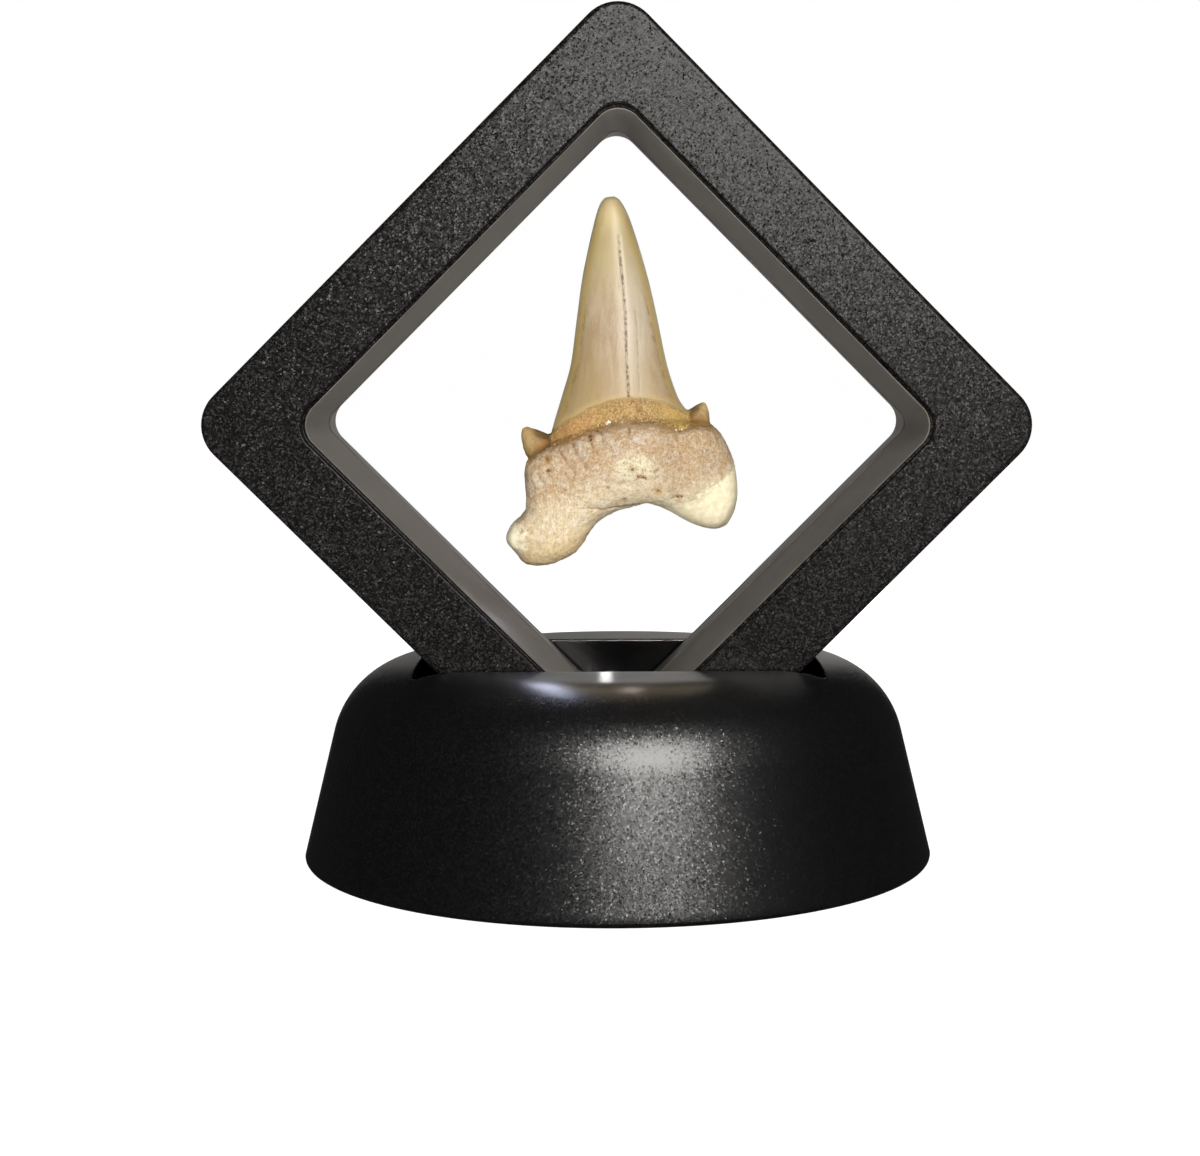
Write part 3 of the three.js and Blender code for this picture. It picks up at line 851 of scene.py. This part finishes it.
satin, here, place = start_material("satin_wall_painted_sheen")
drag = place.stretched((1, 0.12, 1)).cloud(1.6, 3, 0.6)
wall_patches = place.cloud(0.25, 2, 0.5)
finish_material(
    here,
    {
        # The grey of these black walls is painted sheen, standing in for the bright room they
        # reflect.
        "Base Color": wall_patches.step(0.3, 0.7).mixed(shade(78, 74, 69), shade(92, 87, 82)),
        "Roughness": 0.36 + 0.16 * wall_patches,
        "Normal": relief(here, drag, 0.03),
        "Specular IOR Level": 0.5,
    },
)
for half_name, side in (("frame_front_half", -1), ("frame_back_half", 1)):
    rings, satin_start = frame_half(side)
    half_points, half_faces = ring_body(rings, is_loop=True)
    half = new_piece(half_name + "_dressed", half_points, half_faces)
    half.data.materials.append(face_plastic)
    half.data.materials.append(satin)
    per_ring = len(rings[0])
    in_wall = [int(i // per_ring >= satin_start) for i in range(len(half_faces))]
    half.data.polygons.foreach_set("material_index", in_wall)
    even_normals(half)
    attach(half, "root")
    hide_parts(half_name)


# ---- The stand -----------------------------------------------------------------------------
# A round moulded shell in black plastic, open underneath. Its top has a slot with softened
# edges, and the slot's bottom is a V that cradles the frame's lowest corner.

FOOT_RADIUS = 27.25
STAND_HEIGHT = 17.3
LEAN = math.radians(13.7)  # of the outside wall
SHOULDER = 8  # radius of the rolled shoulder
STAND_WALL = 2.2
FOOT_ROUND = 0.45
SLOT_X, SLOT_Y = 17, 10.7  # half of the slot's length and width
SLOT_END_ROUND = 0.7
SLOT_EDGE = 0.15
SLOT_WALL = 1.8
SLOT_CORNER = 3.3  # the corner that the slot's bottom is made for
TROUGH_END_ROUND = 4
SEAT_GAP = 0.3  # between the frame and the slot
CRADLE_X = 8  # half of the V's length
BLEND_RADIUS = 22.3  # where the rings have turned from the slot's outline to plain circles
CEILING_TURN = math.radians(40)  # how far the shoulder's back follows its arc
GRAIN_TOP = 16.9  # height where the stand's grain has died out
SLOT_STEPS = (3, 12, 16)  # points from the slot's middle to the knots and its corner

frame_corner = MIDDLE_Z - math.sqrt(2) * FRAME_HALF
floor_z = frame_corner + SLOT_CORNER * (math.sqrt(2) - 1) - SEAT_GAP
vee = frame_corner - SEAT_GAP * math.sqrt(2)
ledge_z = vee + CRADLE_X


def stand_profile(inset):
    """The radius and height where the shoulder's arc starts, its radius, and the foot's."""
    radius = SHOULDER - inset
    arc_z = STAND_HEIGHT - inset - radius
    foot = FOOT_RADIUS - inset / math.cos(LEAN)
    arc_r = foot - (radius + arc_z * math.sin(LEAN)) / math.cos(LEAN)
    return arc_r, arc_z, radius, foot


def surface_height(r, inset=0):
    """Height of the stand's top and shoulder at a distance from its axis."""
    arc_r, arc_z, radius, _ = stand_profile(inset)
    beyond = np.clip(r - arc_r, 0, radius)
    return arc_z + np.sqrt(radius**2 - beyond**2)


def slot_outline(half_x, half_y, corner, knots):
    """A rounded rectangle, clockwise from its back edge's middle, with points at the knots."""
    straight = half_x - corner
    stops = [0, *knots, straight]
    quarter = []
    for start, end, steps in zip(stops, stops[1:], SLOT_STEPS):
        quarter += [(value, half_y) for value in np.linspace(start, end, steps + 1)[:-1]]
    for turn in np.linspace(math.pi / 2, 0, 7):
        rise = half_y - corner + corner * math.sin(turn)
        quarter.append((straight + corner * math.cos(turn), rise))
    quarter += [(half_x, value) for value in np.linspace(half_y - corner, 0, 9)[1:]]
    right = quarter + [(x, -y) for x, y in reversed(quarter[:-1])]
    return np.array(right + [(-x, y) for x, y in reversed(right[1:-1])])


def bridged(first, count):
    """Faces that close a slot outline's ring from its back edge to its front edge."""
    faces = []
    for k in range(count // 4):
        back, front = k, count // 2 - k
        faces.append((back, back + 1, front - 1, front))
        back, front = (count - k) % count, count // 2 + k
        faces.append((back, count - k - 1, front + 1, front))
    return [tuple(first + i for i in dict.fromkeys(face)) for face in faces]


def cradle(across, knots, drop):
    """Height of the slot's bottom, or of the trough under it, at distances from the middle."""
    heights = [floor_z, floor_z, ledge_z, ledge_z]
    return np.interp(np.abs(across), [0, *knots, FOOT_RADIUS], heights) - drop


def level(ring, heights):
    """A flat ring of points raised to the given heights."""
    return np.column_stack([ring, np.broadcast_to(heights, len(ring))])


slot_knots = [floor_z - vee, CRADLE_X]
trough_knots = [knot + SLOT_WALL * (math.sqrt(2) - 1) for knot in slot_knots]
slot_ring = slot_outline(SLOT_X, SLOT_Y, SLOT_END_ROUND, slot_knots)
trough_ring = slot_outline(
    SLOT_X + SLOT_WALL, SLOT_Y + SLOT_WALL, TROUGH_END_ROUND, trough_knots
)
count = len(slot_ring)
angles = np.arange(count) * 2 * math.pi / count
circle = np.column_stack([np.sin(angles), np.cos(angles)])
ahead = np.roll(slot_ring, -1, axis=0) - np.roll(slot_ring, 1, axis=0)
outward = np.column_stack([-ahead[:, 1], ahead[:, 0]]) / np.linalg.norm(ahead, axis=1)[:, None]

# The slot: its bottom, its wall, its softened edge, and the top that turns from it to a circle.
slot_bottom = cradle(slot_ring[:, 0], slot_knots, 0)
rings = [level(slot_ring, slot_bottom)]
edge_bottom = surface_height(np.hypot(*slot_ring.T)) - SLOT_EDGE
for share in (0.35, 0.7):
    rings.append(level(slot_ring, slot_bottom + (edge_bottom - slot_bottom) * share))
for inset, drop in quarter_turn(SLOT_EDGE):
    ring = slot_ring + outward * inset
    rings.append(level(ring, surface_height(np.hypot(*ring.T)) - drop))
rim = slot_ring + outward * SLOT_EDGE
for share in np.linspace(0, 1, 15)[1:]:
    ring = rim + (circle * BLEND_RADIUS - rim) * share
    rings.append(level(ring, surface_height(np.hypot(*ring.T))))

# The outside: the rest of the shoulder, the leaning wall and the foot.
arc_r, arc_z, arc_radius, foot_radius = stand_profile(0)
for turn in np.linspace(math.acos((BLEND_RADIUS - arc_r) / arc_radius), LEAN, 9)[1:]:
    height = arc_z + arc_radius * math.sin(turn)
    rings.append(level(circle * (arc_r + arc_radius * math.cos(turn)), height))
for height in (8, 5, 2.5, 1, FOOT_ROUND):
    rings.append(level(circle * (foot_radius - height * math.tan(LEAN)), height))
for inset, rise in quarter_turn(FOOT_ROUND)[1:]:
    rings.append(level(circle * (foot_radius - FOOT_ROUND * math.tan(LEAN) - inset), rise))

# The inside: the wall's back, the shoulder's back, and the trough that holds the slot.
inner_r, inner_z, inner_radius, inner_foot = stand_profile(STAND_WALL)
rings.append(level(circle * inner_foot, 0))
for turn in np.linspace(LEAN, CEILING_TURN, 5):
    height = inner_z + inner_radius * math.sin(turn)
    rings.append(level(circle * (inner_r + inner_radius * math.cos(turn)), height))
ceiling = rings[-1][:, :2]
for share in (0.5, 1):
    ring = ceiling + (trough_ring - ceiling) * share
    rings.append(level(ring, surface_height(np.hypot(*ring.T), STAND_WALL)))
rings.append(level(trough_ring, cradle(trough_ring[:, 0], trough_knots, SLOT_WALL)))

stand_points, stand_faces = ring_body(rings)
stand_faces = stand_faces[:-2] + bridged(0, count) + bridged((len(rings) - 1) * count, count)
stand = new_piece("stand_dressed", stand_points, stand_faces)
smooth_parts = (SLOT_X + SLOT_FADE, SLOT_Y + SLOT_FADE, GRAIN_TOP)
stand.data.materials.append(
    sparked_plastic("sparked_stand_plastic", (3, 3, 4), (12, 12, 12), 0.3, 0.42, 1, smooth_parts)
)
even_normals(stand)
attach(stand, "root")
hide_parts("stand")


# ---- The floor and the light ---------------------------------------------------------------
# A plain pale floor in a dim room that is lighter behind the object. A big soft lamp hangs in
# front, high and a little to the right, four soft lamps fill the shadows without adding gloss,
# and three tiny cards glint on the stand's shoulder.

FLOOR_RADIUS = 1500 * MM
floor_turns = np.linspace(0, 2 * math.pi, 97)[:-1]
floor_mesh = bpy.data.meshes.new("floor")
floor_rim = [(math.cos(t) * FLOOR_RADIUS, math.sin(t) * FLOOR_RADIUS, 0) for t in floor_turns]
floor_mesh.from_pydata(floor_rim, [], [tuple(range(len(floor_rim)))])
floor = bpy.data.objects.new("floor", floor_mesh)
scene.collection.objects.link(floor)
pale, here, place = start_material("pale_floor")
finish_material(
    here,
    {
        "Base Color": place.cloud(0.004, 2).mixed(shade(140, 141, 138), shade(132, 133, 130)),
        "Roughness": 0.7,
        "Specular IOR Level": 0.2,
        "Emission Color": (1, 1, 1, 1),
        "Emission Strength": 1,
    },
)
floor_mesh.materials.append(pale)
floor.visible_glossy = False

room = bpy.data.worlds.new("room")
scene.world = room
room.use_nodes = True
room.node_tree.nodes.clear()
here = Wire(room.node_tree)
direction = here.add("ShaderNodeTexCoord", None, None, "Generated")
backward = here.add("ShaderNodeSeparateXYZ", None, {0: direction}, "Y")
across = here.add("ShaderNodeSeparateXYZ", None, {0: direction}, "X")
behind = backward.step(0.9, 0.985) * across.step(-0.32, -0.2) * across.step(0.32, 0.2)
back_glow = across.step(-0.05, 0.06).mixed((0.4, 0.39, 0.37, 1), (0.7, 0.67, 0.64, 1))
glow = behind.mixed((0.02, 0.02, 0.021, 1), back_glow)
is_seen = here.add("ShaderNodeLightPath", None, None, "Is Camera Ray")
sky = here.add("ShaderNodeBackground", None, {"Color": is_seen.mixed(glow, (1, 1, 1, 1))})
here.add("ShaderNodeOutputWorld", None, {"Surface": sky})


def soft_lamp(name, place, aim, size, power, colour=(1, 1, 1)):
    """A lamp of the given width and height at a place that faces a point, all in millimetres."""
    data = bpy.data.lights.new(name, "AREA")
    data.shape = "RECTANGLE"
    data.size, data.size_y = size[0] * MM, size[1] * MM
    data.energy = power
    data.color = colour
    lamp = bpy.data.objects.new(name, data)
    scene.collection.objects.link(lamp)
    lamp.location = Vector(place) * MM
    lamp.rotation_mode = "QUATERNION"
    lamp.rotation_quaternion = (Vector(aim) - Vector(place)).to_track_quat("-Z", "Y")
    lamp.visible_camera = False
    return lamp


FILL_AIM = (0, 0, 33)

soft_lamp("front_lamp", (41, -184, 132), (0, -20, 25), (136, 142), 0.5, (1, 0.975, 0.94))
for name, place, size, power in (
    ("left_fill_lamp", (-120, -105, 26), (60, 60), 0.1),
    ("right_fill_lamp", (120, -105, 26), (60, 60), 0.05),
    ("low_fill_lamp", (0, -90, 7), (120, 10), 0.026),
    ("back_fill_lamp", (60, 230, 90), (160, 120), 0.4),
):
    fill_lamp = soft_lamp(name, place, FILL_AIM, size, power)
    fill_lamp.visible_glossy = False
soft_lamp("cool_card", (-6.6, -8.4, 26.4), (-4.8, -18.6, 17), (2.5, 9), 0.0004, (0.7, 0.76, 1))
soft_lamp("warm_card", (1.25, -8.2, 26.4), (0.9, -18.6, 17), (1.2, 2), 0.00006, (1, 0.85, 0.75))
soft_lamp("low_card", (-1.1, -3.6, 19), (-1.1, -15.5, 17.3), (0.8, 1), 0.00003)


# ---- The camera ----------------------------------------------------------------------------
# It stands a little left of the middle and looks slightly down on the stand from the front.

CAMERA_PLACE = (-1.69, -183.06, 41.32)
CAMERA_VIEW = (0.02866, 0.99498, -0.09593)  # the direction in which it looks
LENS = 63.56
LENS_SHIFT = (-0.0495, 0.0029)  # moves the picture sideways and up without turning the camera

camera_data = bpy.data.cameras.new("camera")
camera = bpy.data.objects.new("camera", camera_data)
scene.collection.objects.link(camera)
scene.camera = camera
camera.location = Vector(CAMERA_PLACE) * MM
camera.rotation_mode = "QUATERNION"
camera.rotation_quaternion = Vector(CAMERA_VIEW).to_track_quat("-Z", "Y")
camera_data.sensor_width = 36
camera_data.lens = LENS
camera_data.shift_x, camera_data.shift_y = LENS_SHIFT
camera_data.clip_start = 0.01
scene.view_settings.view_transform = "Standard"
